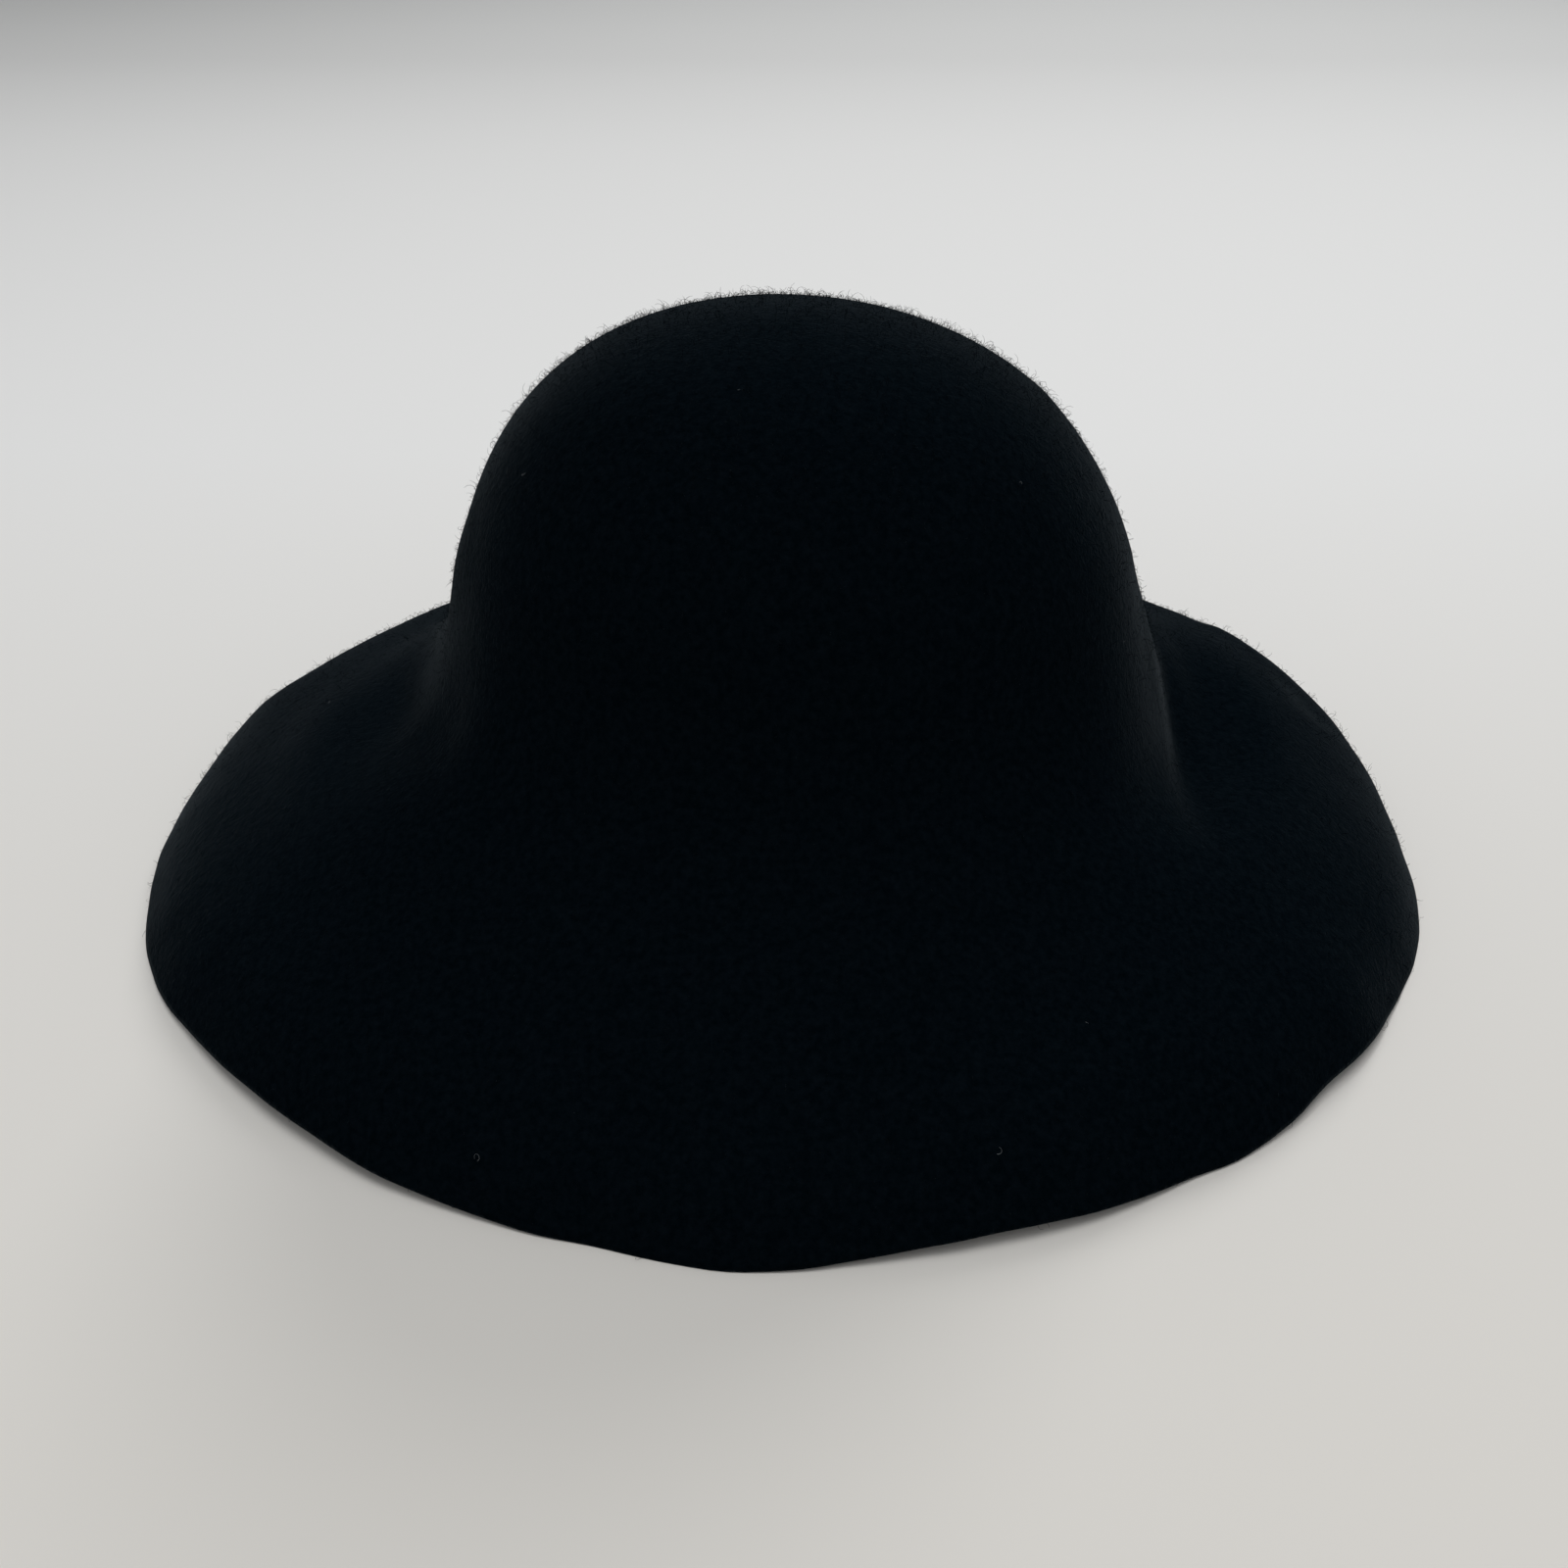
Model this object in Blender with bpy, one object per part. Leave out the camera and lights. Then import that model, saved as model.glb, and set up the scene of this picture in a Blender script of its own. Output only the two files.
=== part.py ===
"""A black wool felt hat body of the capeline form: a domed crown that flares into a wide drooping brim,
pressed from one piece of felt, with a raw cut edge and no band, lining or stitching.

Metres, +Z up. The hat stands on its cut edge on the plane z = 0, with its front towards -Y.
A bearing is an angle round the hat, in degrees: 0 at +X, 90 at the back, 270 at the front.
"""

from collections import namedtuple
import math

import bmesh
import bpy
from mathutils import Vector

# Driving dimensions, in metres, over the outside of the felt. The break is the bend into the brim.
HAT_HEIGHT = 0.1675
BREAK_HEIGHT = 0.064
CROWN_WIDTH = 0.198
CROWN_DEPTH = 0.198
BREAK_FLARE = 0.0185
BRIM_WIDTH = 0.401
BRIM_DEPTH = 0.396
CROWN_SHIFT = 0.004
CROWN_LEAN = 0.007
FELT_WALL = 0.0026

# How finely the felt is divided into flat facets
SIDES = 72
STEPS_PER_SECTION = 2
SHARP_ANGLE = math.radians(50)
FULL_TURN = 360.0

# Each section of the crown is a ring. Its reach is a share of the crown's half width or depth,
# and its height is a share of the rise from the break to the top.
CrownSection = namedtuple("CrownSection", "name reach height")
CROWN_SECTIONS = (
    CrownSection("tip", 0.24, 0.978),
    CrownSection("upper dome", 0.48, 0.916),
    CrownSection("dome", 0.693, 0.802),
    CrownSection("shoulder", 0.85, 0.652),
    CrownSection("upper wall", 0.95, 0.488),
    CrownSection("wall", 1.01, 0.333),
    CrownSection("foot", 1.07, 0.164),
)

# Each section of the brim is a ring too. Its run is a share of the way from the break to the cut
# edge, and its height is a share of the break's height.
BrimSection = namedtuple("BrimSection", "name run height")
BRIM_SECTIONS = (
    BrimSection("break", 0.00, 1.00),
    BrimSection("flare", 0.17, 0.825),
    BrimSection("inner brim", 0.37, 0.65),
    BrimSection("middle brim", 0.57, 0.49),
    BrimSection("outer brim", 0.76, 0.335),
    BrimSection("lip", 0.905, 0.175),
    BrimSection("cut edge", 1.00, 0.00),
)

# Each fold bends the felt round one bearing and one run. It fades out over its spread of degrees to
# either side, and over its breadth of runs inwards and outwards. Up the crown, runs are negative and
# count in rises of the crown. At its middle a fold lifts the felt by a share of the break's height,
# and pushes it outwards by a share of the brim's run.
Fold = namedtuple("Fold", "name bearing spread run breadth lift push")
FOLDS = (
    Fold("right back hump", 20, 40, 0.66, 0.60, 0.105, 0.000),
    Fold("left back hump", 158, 40, 0.78, 0.40, 0.040, 0.000),
    Fold("right back sag", 40, 40, 0.20, 0.40, -0.050, 0.000),
    Fold("left back sag", 144, 44, 0.24, 0.44, -0.120, 0.000),
    Fold("right valley", 346, 40, 0.10, 0.36, -0.220, -0.030),
    Fold("left valley", 188, 34, 0.06, 0.34, -0.130, -0.050),
    Fold("left dimple", 208, 13, -0.03, 0.18, -0.020, -0.030),
    Fold("left corner", 202, 22, 1.00, 0.50, 0.000, 0.014),
    Fold("left front wave", 229, 29, 1.00, 0.60, 0.055, -0.024),
    Fold("front left dip", 255, 15, 1.00, 0.60, 0.000, -0.024),
    Fold("front corner", 267, 12, 1.00, 0.60, 0.000, 0.006),
    Fold("front wave", 286, 20, 1.00, 0.60, 0.050, -0.014),
    Fold("front right dip", 301, 12, 1.00, 0.60, 0.000, -0.020),
    Fold("right front wave", 319, 16, 1.00, 0.60, 0.050, -0.014),
    Fold("right front dip", 332, 12, 1.00, 0.60, 0.000, -0.010),
    Fold("right dip", 352, 18, 1.00, 0.60, 0.000, -0.010),
)


def bearing_gap(one, other):
    """The angle between two bearings, in degrees, from -180 to 180."""
    half_turn = FULL_TURN / 2
    return (one - other + half_turn) % FULL_TURN - half_turn


def oval_reach(width, depth, bearing):
    """How far an oval of this width and depth reaches from its middle at a bearing."""
    angle = math.radians(bearing)
    return 1 / math.hypot(math.cos(angle) / (width / 2), math.sin(angle) / (depth / 2))


def fade(distance, reach):
    """Falls smoothly from 1 at no distance to 0 at the reach and beyond."""
    return math.cos(min(abs(distance) / reach, 1.0) * math.pi / 2) ** 2


def folded(run, bearing, reach, height, brim_run):
    """A point of the felt's outer line after every fold has lifted and pushed it."""
    for fold in FOLDS:
        share = fade(bearing_gap(bearing, fold.bearing), fold.spread) * fade(run - fold.run, fold.breadth)
        height += share * fold.lift * BREAK_HEIGHT
        reach += share * fold.push * brim_run
    return Vector((reach, max(height, 0.0)))


def section_points(bearing):
    """The reach and height of each section at a bearing, from the top of the crown to the cut edge."""
    crown_reach = oval_reach(CROWN_WIDTH, CROWN_DEPTH, bearing)
    crown_rise = HAT_HEIGHT - BREAK_HEIGHT
    break_reach = crown_reach + BREAK_FLARE
    brim_run = oval_reach(BRIM_WIDTH, BRIM_DEPTH, bearing) - break_reach
    points = [Vector((0.0, HAT_HEIGHT))]
    for section in CROWN_SECTIONS:
        height = BREAK_HEIGHT + section.height * crown_rise
        points.append(folded(-section.height, bearing, section.reach * crown_reach, height, brim_run))
    for section in BRIM_SECTIONS:
        reach = break_reach + section.run * brim_run
        points.append(folded(section.run, bearing, reach, section.height * BREAK_HEIGHT, brim_run))
    return points


def smooth_between(before, start, end, after, share):
    """A point on a smooth curve from start to end, whose slopes its two neighbours set."""
    leaving = (end - before) / 2
    arriving = (after - start) / 2
    square = share * share
    cube = square * share
    return (
        (2 * cube - 3 * square + 1) * start
        + (cube - 2 * square + share) * leaving
        + (3 * square - 2 * cube) * end
        + (cube - square) * arriving
    )


def outer_line(bearing):
    """The felt's outer line at a bearing, as reaches and heights, from the top to the cut edge."""
    points = section_points(bearing)
    # Past its top the crown carries on down the far side, and past its edge the brim runs on straight.
    beyond_top = Vector((-points[1].x, points[1].y))
    beyond_edge = 2 * points[-1] - points[-2]
    points = [beyond_top, *points, beyond_edge]
    line = []
    for first in range(len(points) - 3):
        for step in range(STEPS_PER_SECTION):
            line.append(smooth_between(*points[first : first + 4], step / STEPS_PER_SECTION))
    line.append(points[-2])
    return line


def place(reach, height, bearing):
    """A point of the felt in space. The break sits a little to the right, and the crown leans left."""
    angle = math.radians(bearing)
    up_to_break = min(height / BREAK_HEIGHT, 1.0)
    up_the_crown = max(height - BREAK_HEIGHT, 0.0) / (HAT_HEIGHT - BREAK_HEIGHT)
    sideways = CROWN_SHIFT * up_to_break - CROWN_LEAN * up_the_crown**3
    return Vector((reach * math.cos(angle) + sideways, reach * math.sin(angle), height))


def outer_rings():
    """The outer face of the felt as rings of points. The first ring is the top, once for each side."""
    bearings = [side * FULL_TURN / SIDES for side in range(SIDES)]
    lines = [outer_line(bearing) for bearing in bearings]
    return [
        [place(line[step].x, line[step].y, bearing) for line, bearing in zip(lines, bearings)]
        for step in range(len(lines[0]))
    ]


def face_normal(rings, ring, side):
    """The direction out of the felt's outer face at a point, from its neighbours on all four sides."""
    below = min(ring + 1, len(rings) - 1)
    along = rings[below][side] - rings[ring - 1][side]
    around = rings[ring][(side + 1) % SIDES] - rings[ring][side - 1]
    return along.cross(around).normalized()


def inner_rings(outer):
    """The inner face, one wall inside the outer one. At the cut edge it is level with the outer one,
    so that the felt stands on a flat edge."""
    rings = []
    for ring in range(1, len(outer)):
        points = []
        for side in range(SIDES):
            normal = face_normal(outer, ring, side)
            if ring == len(outer) - 1:
                normal = Vector((normal.x, normal.y, 0.0)).normalized()
            points.append(outer[ring][side] - FELT_WALL * normal)
        rings.append(points)
    return rings


def make_felt_body():
    """The whole hat as one closed wall of felt: down the outer face, over the cut edge and up inside."""
    outer = outer_rings()
    inner_top = outer[0][0] - Vector((0.0, 0.0, FELT_WALL))
    shell = bmesh.new()
    outer_tip = shell.verts.new(outer[0][0])
    inner_tip = shell.verts.new(inner_top)
    rings = outer[1:] + list(reversed(inner_rings(outer)))
    loops = [[shell.verts.new(point) for point in ring] for ring in rings]
    for side in range(SIDES):
        following = (side + 1) % SIDES
        shell.faces.new((outer_tip, loops[0][side], loops[0][following]))
        shell.faces.new((inner_tip, loops[-1][following], loops[-1][side]))
        for loop, lower in zip(loops, loops[1:]):
            shell.faces.new((loop[side], lower[side], lower[following], loop[following]))
    mesh = bpy.data.meshes.new("felt_body")
    shell.to_mesh(mesh)
    shell.free()
    mesh.shade_smooth()
    mesh.set_sharp_from_angle(angle=SHARP_ANGLE)
    return mesh


def wool_felt():
    """Matte black wool felt."""
    material = bpy.data.materials.new("black_wool_felt")
    material.use_nodes = True
    shader = material.node_tree.nodes["Principled BSDF"]
    shader.inputs["Base Color"].default_value = (0.006, 0.007, 0.008, 1.0)
    shader.inputs["Roughness"].default_value = 0.95
    shader.inputs["Metallic"].default_value = 0.0
    return material


def clear_scene():
    for leftover in list(bpy.data.objects):
        bpy.data.objects.remove(leftover, do_unlink=True)


def main():
    clear_scene()
    mesh = make_felt_body()
    mesh.materials.append(wool_felt())
    felt_body = bpy.data.objects.new("felt_body", mesh)
    bpy.context.scene.collection.objects.link(felt_body)


main()
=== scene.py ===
# %% [markdown]
# A black wool hat
#
# The hat is one piece of wool felt, wetted, pulled over a block and steamed until it keeps its form: a round
# crown that flares, with no seam or band, into a wide brim whose edge is left as the scissors cut it.
# The lesson takes the plain solid of the hat, refines its surface, gives it the nap of loose fibres that makes
# wool look like wool, and lights it on a pale table.

import math

import bmesh
import bpy
from mathutils import Matrix, Vector, noise


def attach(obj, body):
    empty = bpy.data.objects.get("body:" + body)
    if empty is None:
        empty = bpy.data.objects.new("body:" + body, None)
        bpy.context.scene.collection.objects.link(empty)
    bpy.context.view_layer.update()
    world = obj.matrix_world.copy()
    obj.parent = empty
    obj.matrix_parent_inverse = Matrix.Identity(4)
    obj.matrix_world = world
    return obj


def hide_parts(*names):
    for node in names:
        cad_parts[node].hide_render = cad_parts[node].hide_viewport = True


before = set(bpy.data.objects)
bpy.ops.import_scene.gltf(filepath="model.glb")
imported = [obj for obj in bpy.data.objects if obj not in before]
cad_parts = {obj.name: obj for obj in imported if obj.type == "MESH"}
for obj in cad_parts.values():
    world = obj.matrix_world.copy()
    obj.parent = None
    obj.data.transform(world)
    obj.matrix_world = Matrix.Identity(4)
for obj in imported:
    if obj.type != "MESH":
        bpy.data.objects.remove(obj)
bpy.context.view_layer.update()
bpy.ops.object.select_all(action="DESELECT")

# %% [markdown]
# The felt could be modelled again from a disc, but the solid already has its true form and its true wall. So
# the felt starts as a copy of the solid. A copied solid is loose triangles, and a surface can only be refined
# well when it is whole and made of quads. The doubles are merged first, and pairs of triangles are then joined.

# %% Copy the solid of the hat and make it whole
MERGE_DISTANCE = 0.00002
QUAD_ANGLE = math.radians(50)


def make_active(piece):
    """Selects one piece alone, so that the next operator acts on nothing else."""
    bpy.ops.object.select_all(action="DESELECT")
    piece.select_set(True)
    bpy.context.view_layer.objects.active = piece


def copy_of_solid(node, name):
    piece = bpy.data.objects.new(name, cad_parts[node].data.copy())
    bpy.context.scene.collection.objects.link(piece)
    piece.data.name = name
    piece.data.materials.clear()
    return piece


felt = copy_of_solid("felt_body", "felt_hat")
make_active(felt)
bpy.ops.object.mode_set(mode="EDIT")
bpy.ops.mesh.customdata_custom_splitnormals_clear()
bpy.ops.mesh.select_all(action="SELECT")
bpy.ops.mesh.remove_doubles(threshold=MERGE_DISTANCE)
bpy.ops.mesh.tris_convert_to_quads(face_threshold=QUAD_ANGLE, shape_threshold=QUAD_ANGLE)
bpy.ops.object.mode_set(mode="OBJECT")
quads = sum(len(face.vertices) == 4 for face in felt.data.polygons)
print("felt:", len(felt.data.vertices), "points,", quads, "quads of", len(felt.data.polygons), "faces")

# %% [markdown]
# At the top of the crown all rows of faces meet in one point, on the outside and again on the inside. Refined,
# such a star shows as a pinch in the cloth. Real felt is the same all over, so each star is cut out and its
# hole is filled with a grid of quads, which is then domed to the height that the point had.

# %% Turn the two stars at the top into domed grids
FELT_WALL = 0.0026
GRID_SPAN = 18
INSIDE_RIM = 0.97


def replace_star(piece, top):
    """Cuts out the point at the top and the faces round it, and fills the hole with a domed grid."""
    bpy.ops.object.mode_set(mode="EDIT")
    bpy.ops.mesh.select_all(action="DESELECT")
    mesh = bmesh.from_edit_mesh(piece.data)
    star = min(mesh.verts, key=lambda point: (point.co - top).length)
    summit = star.co.copy()
    rim = [edge.other_vert(star).co.copy() for edge in star.link_edges]
    star.select = True
    bmesh.update_edit_mesh(piece.data)
    bpy.ops.mesh.delete(type="VERT")
    mesh = bmesh.from_edit_mesh(piece.data)
    for edge in mesh.edges:
        edge.select_set(edge.is_boundary)
    bmesh.update_edit_mesh(piece.data)
    bpy.ops.mesh.fill_grid(span=GRID_SPAN, use_interp_simple=True)
    rim_height = sum(point.z for point in rim) / len(rim)
    radius = sum((point.xy - summit.xy).length for point in rim) / len(rim)
    mesh = bmesh.from_edit_mesh(piece.data)
    filled = 0
    for point in mesh.verts:
        share = (point.co.xy - summit.xy).length / radius
        if share < INSIDE_RIM and abs(point.co.z - summit.z) < FELT_WALL / 2:
            point.co.z = rim_height + (summit.z - rim_height) * (1 - share * share)
            filled += 1
    bmesh.update_edit_mesh(piece.data)
    bpy.ops.object.mode_set(mode="OBJECT")
    print("top at", round(summit.z, 4), "m: rim of", len(rim), "points, grid of", filled, "points")


outer_top = max(felt.data.vertices, key=lambda point: point.co.z).co.copy()
replace_star(felt, outer_top)
replace_star(felt, outer_top - Vector((0, 0, FELT_WALL)))

# %% [markdown]
# A Subdivision Surface rounds the flat facets into felt. It would round the cut edge away as well, so the
# edges there are creased first. They are found by their angle: nowhere else do two faces meet so sharply.

# %% Crease the cut edge and refine the felt
EDGE_ANGLE = math.radians(40)
EDGE_CREASE = 0.75

bpy.ops.object.mode_set(mode="EDIT")
bpy.ops.mesh.select_all(action="DESELECT")
bpy.ops.mesh.select_mode(type="EDGE")
mesh = bmesh.from_edit_mesh(felt.data)
crease = mesh.edges.layers.float.new("crease_edge")
creased = 0
for edge in mesh.edges:
    if edge.calc_face_angle(0) > EDGE_ANGLE:
        edge[crease] = EDGE_CREASE
        creased += 1
bmesh.update_edit_mesh(felt.data)
bpy.ops.object.mode_set(mode="OBJECT")
bpy.ops.object.shade_smooth()
rounding = felt.modifiers.new("rounding", "SUBSURF")
rounding.levels = 2
rounding.render_levels = 2
bpy.ops.object.modifier_apply(modifier="rounding")
print("creased edges:", creased, "faces now:", len(felt.data.polygons))

# %% [markdown]
# Hands and storage have left their marks in the real felt: a gutter where the crown's right side meets the
# brim, a small crease on the left, and humps and dents round the brim. Proportional editing would press these
# in by hand. Here each mark has its line, its breadth and its push in a table. A point near the line is pushed
# by a share that fades with its distance, and towards both ends of the line. Both faces of the felt move
# together, so the wall stays nearly as thick.

# %% Press the gutter, the crease and the soft dents into the felt
MM = 0.001
PRESSES = (
    # name, corners of its line, breadth to each side, push; all in millimetres
    ("right gutter", ((112, 42, 62), (118, 0, 54), (121, -34, 47), (118, -86, 43)), 12, (-0.8, 0, -2.9)),
    ("right flank", ((106, -2, 90), (109, -18, 72), (113, -36, 56)), 13, (0.7, -0.3, 0.2)),
    ("right shoulder", ((100, -6, 96), (78, 14, 140)), 26, (-0.9, 0, -0.6)),
    ("right back sag", ((122, 112, 33), (140, 92, 36), (156, 72, 35)), 19, (0, 0, -2.3)),
    ("right back hump", ((152, 76, 35), (164, 56, 35), (174, 36, 31)), 13, (0, 0, 1.1)),
    ("right side sag", ((170, 40, 32), (178, 10, 28)), 14, (0, 0, -1.5)),
    ("left crease", ((-95, -48, 72), (-94, -58, 67)), 3.5, (1.0, 0.4, -0.3)),
    ("left gutter", ((-122, 28, 50), (-112, -38, 52)), 15, (0.4, 0, -1.1)),
    ("left flank", ((-91, -30, 114), (-97, -12, 90), (-101, 0, 68)), 20, (-1.6, 0, 0)),
    ("left back hump", ((-108, 134, 29), (-148, 96, 25), (-176, 44, 21)), 34, (0, 0, -2.2)),
)


def fade(share):
    """Falls smoothly from 1 at no distance to 0 at a share of 1."""
    return math.cos(min(share, 1.0) * math.pi / 2) ** 2


def share_of_press(co, line, breadth):
    """How much of a press a point takes: all of it on the middle of the line, none away from it."""
    whole = sum((end - start).length for start, end in zip(line, line[1:]))
    most = 0.0
    passed = 0.0
    for start, end in zip(line, line[1:]):
        length = (end - start).length
        along = min(max((co - start).dot(end - start) / length**2, 0.0), 1.0)
        gap = (co - start.lerp(end, along)).length
        from_middle = 2 * (passed + along * length) / whole - 1
        most = max(most, fade(gap / breadth) * (1 - from_middle**2))
        passed += length
    return most


def press(piece, line, breadth, push):
    line = [Vector(corner) * MM for corner in line]
    middle = sum(line, Vector()) / len(line)
    farthest = max((corner - middle).length for corner in line) + breadth * MM
    moved = 0
    for point in piece.data.vertices:
        if (point.co - middle).length < farthest:
            share = share_of_press(point.co, line, breadth * MM)
            point.co += Vector(push) * MM * share
            moved += share > 0.01
    return moved


for name, line, breadth, push in PRESSES:
    print(name, "moved", press(felt, line, breadth, push), "points")

# %% [markdown]
# The cut edge is where the hat's outline is clearest. Scissors leave it a little uneven: long waves where the
# cutter changed grip, and small ones between. A table of bearings, with 0 at the right and 270 in front, says
# how far each wave reaches, and a smooth noise makes the small ones. The crown is eased out by under a
# millimetre, which is what the Subdivision Surface took off it.

# %% Wave the cut edge and ease out the crown
EDGE_WAVES = (
    # bearing and spread in degrees, reach in millimetres
    (10, 12, 0.6),
    (165, 12, 1.7),
    (184, 16, 0.5),
    (205, 11, 0.9),
    (227, 15, -0.7),
    (245, 10, -0.9),
    (257, 7, -0.7),
    (266, 8, 0.9),
    (275, 8, -0.4),
    (284, 15, -1.3),
    (299, 7, -0.9),
    (306, 6, 0.3),
    (316, 5, -1.2),
    (324, 5, 0.5),
    (341, 14, 1.3),
)
WAVES_START = 0.14
WAVES_FULL = 0.19
SMALL_WAVE = 0.0005
SMALL_WAVES_ROUND = 13
CROWN_EASE = 0.0007
EASE_START = 0.085
EASE_RISE = 0.03
EASE_UP = 0.8

for point in felt.data.vertices:
    reach = point.co.xy.length
    outward = Vector((point.co.x, point.co.y, 0)) / max(reach, MM)
    near_edge = 1 - fade((reach - WAVES_START) / (WAVES_FULL - WAVES_START)) if reach > WAVES_START else 0
    if near_edge > 0:
        bearing = math.degrees(math.atan2(point.co.y, point.co.x)) % 360
        wave = SMALL_WAVE * noise.noise(outward * SMALL_WAVES_ROUND)
        for middle, spread, amount in EDGE_WAVES:
            gap = abs((bearing - middle + 180) % 360 - 180)
            wave += fade(gap / spread) * amount * MM
        point.co += outward * wave * near_edge
    up_crown = 1 - fade((point.co.z - EASE_START) / EASE_RISE) if point.co.z > EASE_START else 0
    point.co += (outward + Vector((0, 0, EASE_UP))) * CROWN_EASE * up_crown
felt.data.update()
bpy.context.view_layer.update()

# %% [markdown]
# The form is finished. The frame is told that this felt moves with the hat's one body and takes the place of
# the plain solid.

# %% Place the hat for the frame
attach(felt, "root")
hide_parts("felt_body")

# %% [markdown]
# Black felt takes in nearly all light that falls on it straight. What shows its form is the nap: short fibres
# that stand off the cloth and catch light where the surface turns away. That is what sheen is for. The colour
# is mottled a little, as wool takes dye unevenly, and two sizes of noise raise the grain.

# %% Mix the black wool felt


def new_material(name):
    material = bpy.data.materials.new(name)
    material.use_nodes = True
    return material, material.node_tree.nodes, material.node_tree.links


def add_noise(nodes, links, place, scale, detail):
    texture = nodes.new("ShaderNodeTexNoise")
    texture.inputs["Scale"].default_value = scale
    texture.inputs["Detail"].default_value = detail
    texture.inputs["Roughness"].default_value = 0.6
    links.new(place.outputs["Object"], texture.inputs["Vector"])
    return texture


wool_felt, nodes, links = new_material("black_wool_felt")
shader = nodes["Principled BSDF"]
shader.inputs["Roughness"].default_value = 1.0
shader.inputs["Specular IOR Level"].default_value = 0.0
shader.inputs["Sheen Weight"].default_value = 0.09
shader.inputs["Sheen Roughness"].default_value = 0.26
shader.inputs["Sheen Tint"].default_value = (0.80, 0.92, 1.0, 1.0)
place = nodes.new("ShaderNodeTexCoord")
mottle = add_noise(nodes, links, place, 480.0, 8.0)
dye = nodes.new("ShaderNodeValToRGB")
dye.color_ramp.elements[0].position = 0.36
dye.color_ramp.elements[0].color = (0.0008, 0.0026, 0.0042, 1.0)
dye.color_ramp.elements[1].position = 0.68
dye.color_ramp.elements[1].color = (0.0027, 0.0053, 0.0078, 1.0)
links.new(mottle.outputs["Fac"], dye.inputs["Fac"])
links.new(dye.outputs["Color"], shader.inputs["Base Color"])
grain = add_noise(nodes, links, place, 1100.0, 4.0)
lumps = add_noise(nodes, links, place, 330.0, 3.0)
raise_grain = nodes.new("ShaderNodeBump")
raise_grain.inputs["Strength"].default_value = 0.7
raise_grain.inputs["Distance"].default_value = 0.0004
links.new(grain.outputs["Fac"], raise_grain.inputs["Height"])
raise_lumps = nodes.new("ShaderNodeBump")
raise_lumps.inputs["Strength"].default_value = 0.35
raise_lumps.inputs["Distance"].default_value = 0.0008
links.new(lumps.outputs["Fac"], raise_lumps.inputs["Height"])
links.new(raise_grain.outputs["Normal"], raise_lumps.inputs["Normal"])
links.new(raise_lumps.outputs["Normal"], shader.inputs["Normal"])
felt.data.materials.append(wool_felt)

# %% [markdown]
# Wool felt is never quite smooth: loose fibres stand off it, and against a pale wall they draw a soft line
# round the hat. A few curled fibres are modelled once each, as cones with three sides that are cut across and
# bent along an arc. A wool fibre is so fine that its section never shows, so it needs no more faces than that.

# %% Model the loose fibres
FIBRE_RADIUS = 0.000055
FIBRE_CUTS = 3
TIP_SHARE = 0.4
TWIST = 0.12
TWIST_ANGLE = 3.0
FIBRES = (
    # length in millimetres, and how far round it curls, in degrees
    (1.2, 70),
    (1.6, 150),
    (2.0, 50),
    (2.6, 210),
    (3.2, 110),
    (4.2, 260),
)
fibres = bpy.data.collections.new("fibres")
bpy.context.scene.collection.children.link(fibres)


def make_fibre(name, length, radius, cuts, curl, material):
    """A fibre that stands on the origin, tapers, and curls over towards +X with a slight twist to +Y."""
    bpy.ops.mesh.primitive_cone_add(
        vertices=3, radius1=radius, radius2=radius * TIP_SHARE, depth=length, location=(0, 0, length / 2)
    )
    fibre = bpy.context.object
    fibre.name = name
    bpy.ops.object.transform_apply(location=True)
    bpy.ops.object.mode_set(mode="EDIT")
    for cut in range(1, cuts + 1):
        bpy.ops.mesh.select_all(action="SELECT")
        bpy.ops.mesh.bisect(plane_co=(0, 0, length * cut / (cuts + 1)), plane_no=(0, 0, 1))
    bpy.ops.object.mode_set(mode="OBJECT")
    arc_radius = length / math.radians(curl)
    for point in fibre.data.vertices:
        angle = point.co.z / arc_radius
        from_centre = arc_radius - point.co.x
        point.co.y += TWIST * length * math.sin(TWIST_ANGLE * point.co.z / length)
        point.co.x = arc_radius - from_centre * math.cos(angle)
        point.co.z = from_centre * math.sin(angle)
    fibre.data.materials.append(material)
    return fibre


for number, (length, curl) in enumerate(FIBRES):
    fibre = make_fibre(f"fibre_{number}", length * MM, FIBRE_RADIUS, FIBRE_CUTS, curl, wool_felt)
    bpy.context.scene.collection.objects.unlink(fibre)
    fibres.objects.link(fibre)

# %% [markdown]
# Thousands of copies of these fibres are then sown over the felt. Placing them by hand is out of the question,
# and a hair system would leave no mesh behind, so a Geometry Nodes modifier does it: it scatters points over
# the faces, puts a fibre on each point, turned at random about the way the surface faces, and makes them real.
# A vertex group says how thick they stand: thick on the top of the crown and round the back, where hands have
# rubbed the felt least, and thin elsewhere.

# %% Sow the fibres over the felt
SMALLEST_FIBRE = 0.5
LARGEST_FIBRE = 1.4
TABLE_GAP = 0.0001
FACING_UP = 0.15
FACING_OUT = 0.2
TOP_STARTS = 0.125
TOP_FULL = 0.150
CROWN_FOOT = 0.070
BRIM_TOP = 0.075
BACK_STARTS = -0.02
BACK_FULL = 0.03


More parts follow.
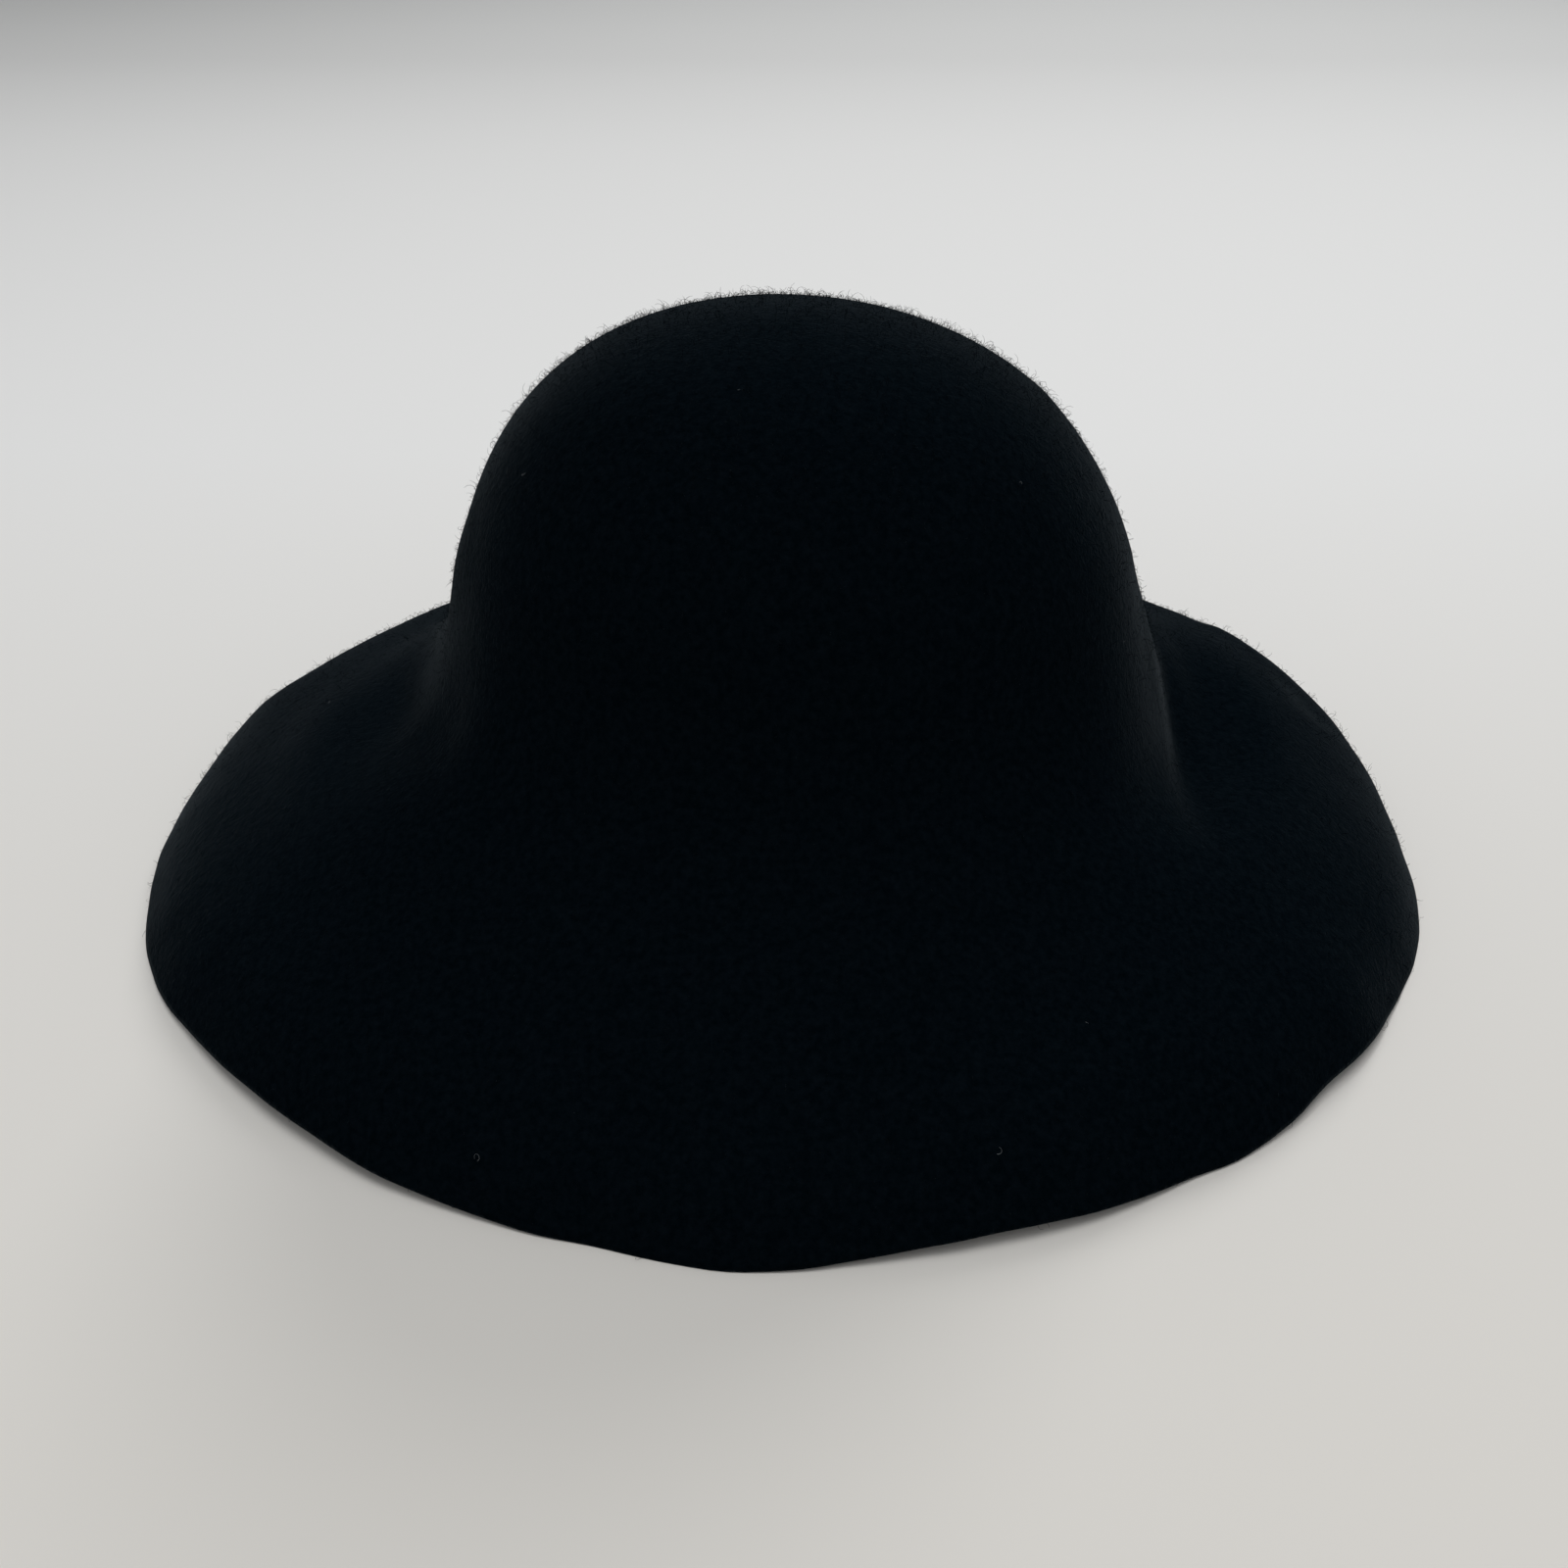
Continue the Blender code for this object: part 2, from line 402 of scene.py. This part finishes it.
def sowing_nodes(name, thickness, group, lean_over, seed):
    """A node tree that swaps a mesh for the fibres sown on it, so many to the square metre."""
    tree = bpy.data.node_groups.new(name, "GeometryNodeTree")
    tree.interface.new_socket("Geometry", in_out="INPUT", socket_type="NodeSocketGeometry")
    tree.interface.new_socket("Geometry", in_out="OUTPUT", socket_type="NodeSocketGeometry")
    nodes, links = tree.nodes, tree.links
    start = nodes.new("NodeGroupInput")
    end = nodes.new("NodeGroupOutput")
    weight = nodes.new("GeometryNodeInputNamedAttribute")
    weight.data_type = "FLOAT"
    weight.inputs["Name"].default_value = group
    amount = nodes.new("ShaderNodeMath")
    amount.operation = "MULTIPLY"
    amount.inputs[1].default_value = thickness
    links.new(weight.outputs["Attribute"], amount.inputs[0])
    sow = nodes.new("GeometryNodeDistributePointsOnFaces")
    sow.inputs["Seed"].default_value = seed
    links.new(start.outputs["Geometry"], sow.inputs["Mesh"])
    links.new(amount.outputs[0], sow.inputs["Density"])
    sideways = nodes.new("FunctionNodeRandomValue")
    sideways.data_type = "FLOAT_VECTOR"
    sideways.inputs["Min"].default_value = (-lean_over, -lean_over, -lean_over)
    sideways.inputs["Max"].default_value = (lean_over, lean_over, lean_over)
    sideways.inputs["Seed"].default_value = seed + 1
    upwards = nodes.new("ShaderNodeVectorMath")
    upwards.operation = "ADD"
    links.new(sow.outputs["Normal"], upwards.inputs[0])
    links.new(sideways.outputs["Value"], upwards.inputs[1])
    spin = nodes.new("FunctionNodeRandomValue")
    spin.data_type = "FLOAT_VECTOR"
    spin.inputs["Max"].default_value = (0, 0, 2 * math.pi)
    spin.inputs["Seed"].default_value = seed + 2
    turn = nodes.new("FunctionNodeEulerToRotation")
    links.new(spin.outputs["Value"], turn.inputs["Euler"])
    stand = nodes.new("FunctionNodeAlignRotationToVector")
    stand.axis = "Z"
    links.new(turn.outputs["Rotation"], stand.inputs["Rotation"])
    links.new(upwards.outputs["Vector"], stand.inputs["Vector"])
    size = nodes.new("FunctionNodeRandomValue")
    size.inputs["Min"].default_value = SMALLEST_FIBRE
    size.inputs["Max"].default_value = LARGEST_FIBRE
    size.inputs["Seed"].default_value = seed + 3
    choice = nodes.new("GeometryNodeCollectionInfo")
    choice.inputs["Collection"].default_value = fibres
    choice.inputs["Separate Children"].default_value = True
    choice.inputs["Reset Children"].default_value = True
    put = nodes.new("GeometryNodeInstanceOnPoints")
    put.inputs["Pick Instance"].default_value = True
    links.new(sow.outputs["Points"], put.inputs["Points"])
    links.new(choice.outputs["Instances"], put.inputs["Instance"])
    links.new(stand.outputs["Rotation"], put.inputs["Rotation"])
    links.new(size.outputs[1], put.inputs["Scale"])
    real = nodes.new("GeometryNodeRealizeInstances")
    links.new(put.outputs["Instances"], real.inputs["Geometry"])
    links.new(real.outputs["Geometry"], end.inputs["Geometry"])
    return tree


def grow_fuzz(name, thickness, lean_over, seed, weight_of):
    """Adds a piece of fibres. Given a point and its normal, weight_of says how thick they stand there."""
    fuzz = bpy.data.objects.new(name, felt.data.copy())
    fuzz.data.name = name
    bpy.context.scene.collection.objects.link(fuzz)
    group = fuzz.vertex_groups.new(name="thickness")
    for point in fuzz.data.vertices:
        weight = weight_of(point.co, point.normal)
        if weight > 0:
            group.add([point.index], weight, "REPLACE")
    make_active(fuzz)
    sower = fuzz.modifiers.new("sower", "NODES")
    sower.node_group = sowing_nodes(name, thickness, "thickness", lean_over, seed)
    bpy.ops.object.modifier_apply(modifier="sower")
    for point in fuzz.data.vertices:
        point.co.z = max(point.co.z, TABLE_GAP)
    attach(fuzz, "root")
    triangles = sum(len(face.vertices) - 2 for face in fuzz.data.polygons)
    print(name, triangles, "triangles,", len(fuzz.data.materials), "material")


def faces_out(co, normal):
    """Whether a point is on the outer face: there the felt faces up, or away from the middle."""
    return normal.z > FACING_UP or normal.xy.dot(co.xy) > FACING_OUT * co.xy.length


def between(value, low, high):
    """How far a value is from low to high, as a share held between 0 and 1."""
    return min(max((value - low) / (high - low), 0.0), 1.0)


def crown_top_weight(co, normal):
    return between(co.z, TOP_STARTS, TOP_FULL) if faces_out(co, normal) else 0


def crown_side_weight(co, normal):
    if co.z < CROWN_FOOT or not faces_out(co, normal):
        return 0
    return 1 - between(co.z, TOP_STARTS, TOP_FULL)


def brim_back_weight(co, normal):
    if co.z >= BRIM_TOP or not faces_out(co, normal):
        return 0
    return between(co.y, BACK_STARTS, BACK_FULL)


def brim_front_weight(co, normal):
    if co.z >= BRIM_TOP or not faces_out(co, normal):
        return 0
    return 1 - between(co.y, BACK_STARTS, BACK_FULL)


grow_fuzz("crown_top_fuzz", 325000, 0.6, 11, crown_top_weight)
grow_fuzz("crown_side_fuzz", 100000, 1.2, 23, crown_side_weight)
grow_fuzz("brim_back_fuzz", 105000, 1.2, 37, brim_back_weight)
grow_fuzz("brim_front_fuzz", 70000, 1.4, 41, brim_front_weight)
bpy.data.collections.remove(fibres)

# %% [markdown]
# Black felt picks up lint, and on the real hat a few pale curls and specks show clearly. They are made like the
# felt's own fibres, only paler and a little thicker. Each is put down at the nearest place on the felt,
# turned to lie on it, and all of them are joined into one piece.

# %% Drop pale lint on the felt
LINT_CUTS = 7
LINT_LEAN = math.radians(80)
LINT = (
    # place, length and thickness in millimetres, curl and turn in degrees
    ("curl on the crown's left", (-70, -39, 134), 2.6, 0.13, 230, 20),
    ("speck near the top", (-12, -45, 159), 0.7, 0.14, 60, 80),
    ("small curl on the right", (62, -52, 136), 1.5, 0.11, 200, 140),
    ("speck on the right wall", (95, -47, 88), 0.7, 0.12, 60, 30),
    ("speck on the front brim", (75, -146, 32), 0.8, 0.14, 60, 10),
    ("curl at the front edge", (50.5, -178, 18), 2.8, 0.12, 190, 60),
    ("loop at the front edge", (-74, -174, 12), 4.2, 0.11, 300, 100),
    ("fluff on the left brim", (-147, 6, 40), 1.6, 0.12, 160, 200),
)

pale_lint, nodes, links = new_material("pale_lint")
shader = nodes["Principled BSDF"]
shader.inputs["Roughness"].default_value = 0.9
shader.inputs["Sheen Weight"].default_value = 0.2
place = nodes.new("ShaderNodeTexCoord")
dust = add_noise(nodes, links, place, 900.0, 2.0)
tone = nodes.new("ShaderNodeValToRGB")
tone.color_ramp.elements[0].color = (0.06, 0.07, 0.08, 1.0)
tone.color_ramp.elements[1].color = (0.30, 0.32, 0.34, 1.0)
links.new(dust.outputs["Fac"], tone.inputs["Fac"])
links.new(tone.outputs["Color"], shader.inputs["Base Color"])

pieces_of_lint = []
for name, lies_at, length, thickness, curl, turn in LINT:
    curled = make_fibre("lint", length * MM, thickness / 2 * MM, LINT_CUTS, curl, pale_lint)
    nearest, facing = felt.closest_point_on_mesh(Vector(lies_at) * MM)[1:3]
    flat_on_felt = facing.to_track_quat("Z", "Y").to_matrix().to_4x4()
    leaned = Matrix.Rotation(math.radians(turn), 4, "Z") @ Matrix.Rotation(LINT_LEAN, 4, "X")
    curled.data.transform(Matrix.Translation(nearest + facing * thickness * MM) @ flat_on_felt @ leaned)
    pieces_of_lint.append(curled)
    print(name, "is", round((nearest - Vector(lies_at) * MM).length * 1000, 2), "mm from where it was asked for")
bpy.ops.object.select_all(action="DESELECT")
for curled in pieces_of_lint:
    curled.select_set(True)
bpy.context.view_layer.objects.active = pieces_of_lint[0]
bpy.ops.object.join()
lint = bpy.context.object
lint.data.name = "lint"
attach(lint, "root")
print("lint:", len(lint.data.polygons), "faces")

# %% [markdown]
# The hat lies on a plain pale table. A single large sheet does for it, because the camera looks down so far
# that the frame never reaches its end. As on the real one, it warms a little towards the front and darkens
# softly into the distance, and a colour ramp over its depth does both: the darkening is painted shade, where
# the light falls off.

# %% Lay the table
TABLE_RADIUS = 12.0
SHADE_STARTS = -0.25
SHADE_ENDS = 2.75

bpy.ops.mesh.primitive_circle_add(vertices=96, radius=TABLE_RADIUS, fill_type="NGON", location=(0, 0, 0))
table = bpy.context.object
table.name = "table"
paper, nodes, links = new_material("pale_paper")
shader = nodes["Principled BSDF"]
shader.inputs["Roughness"].default_value = 0.9
shader.inputs["Specular IOR Level"].default_value = 0.2
place = nodes.new("ShaderNodeTexCoord")
axes = nodes.new("ShaderNodeSeparateXYZ")
depth = nodes.new("ShaderNodeMapRange")
depth.inputs["From Min"].default_value = SHADE_STARTS
depth.inputs["From Max"].default_value = SHADE_ENDS
# painted shade: the ramp darkens the far table where the light falls off; it also warms the front a little
shade = nodes.new("ShaderNodeValToRGB")
shade.color_ramp.elements[0].color = (0.84, 0.815, 0.77, 1.0)
shade.color_ramp.elements[1].color = (0.44, 0.445, 0.44, 1.0)
for position, tone in ((0.2, 0.81), (0.46, 0.67), (0.65, 0.54)):
    shade.color_ramp.elements.new(position).color = (tone, tone, tone * 0.99, 1.0)
links.new(place.outputs["Object"], axes.inputs["Vector"])
links.new(axes.outputs["Y"], depth.inputs["Value"])
links.new(depth.outputs["Result"], shade.inputs["Fac"])
links.new(shade.outputs["Color"], shader.inputs["Base Color"])
table.data.materials.append(paper)

# %% [markdown]
# The light is soft. A broad one overhead lights the crown's top and the table, a smaller one far behind the
# hat draws a rim on the back of the brim and throws a faint shadow to the front, and the room fills the rest.

# %% Light the hat


def add_soft_light(name, location, aim, size, power):
    bpy.ops.object.light_add(type="AREA", location=location)
    light = bpy.context.object
    light.name = name
    light.data.shape = "DISK"
    light.data.size = size
    light.data.energy = power
    light.rotation_euler = (Vector(aim) - Vector(location)).to_track_quat("-Z", "Y").to_euler()


add_soft_light("overhead", (0.1, 0.6, 2.0), (0, 0.4, 0), 2.4, 16)
add_soft_light("behind", (0.9, 2.9, 2.2), (0, 0, 0), 1.2, 46)
world = bpy.data.worlds.new("room")
world.use_nodes = True
world.node_tree.nodes["Background"].inputs["Color"].default_value = (0.80, 0.81, 0.82, 1.0)
world.node_tree.nodes["Background"].inputs["Strength"].default_value = 0.46
bpy.context.scene.world = world

# %% [markdown]
# The camera stands where the photographer's did, a little over half a metre away and 31 degrees above level.

# %% Set up the camera
CAMERA_HEIGHT_ANGLE = math.radians(31)
CAMERA_DISTANCE = 0.556
CAMERA_VIEW_ANGLE = math.radians(49.6)
LOOK_AT = Vector((0, 0, 0.013))
from_hat = Vector((0, -math.cos(CAMERA_HEIGHT_ANGLE), math.sin(CAMERA_HEIGHT_ANGLE)))
bpy.ops.object.camera_add(location=LOOK_AT + from_hat * CAMERA_DISTANCE)
camera = bpy.context.object
camera.rotation_euler = (-from_hat).to_track_quat("-Z", "Y").to_euler()
camera.data.angle = CAMERA_VIEW_ANGLE
bpy.context.scene.camera = camera
bpy.context.scene.view_settings.view_transform = "Standard"
print("camera at", [round(value, 4) for value in camera.location], "lens", round(camera.data.lens, 2))
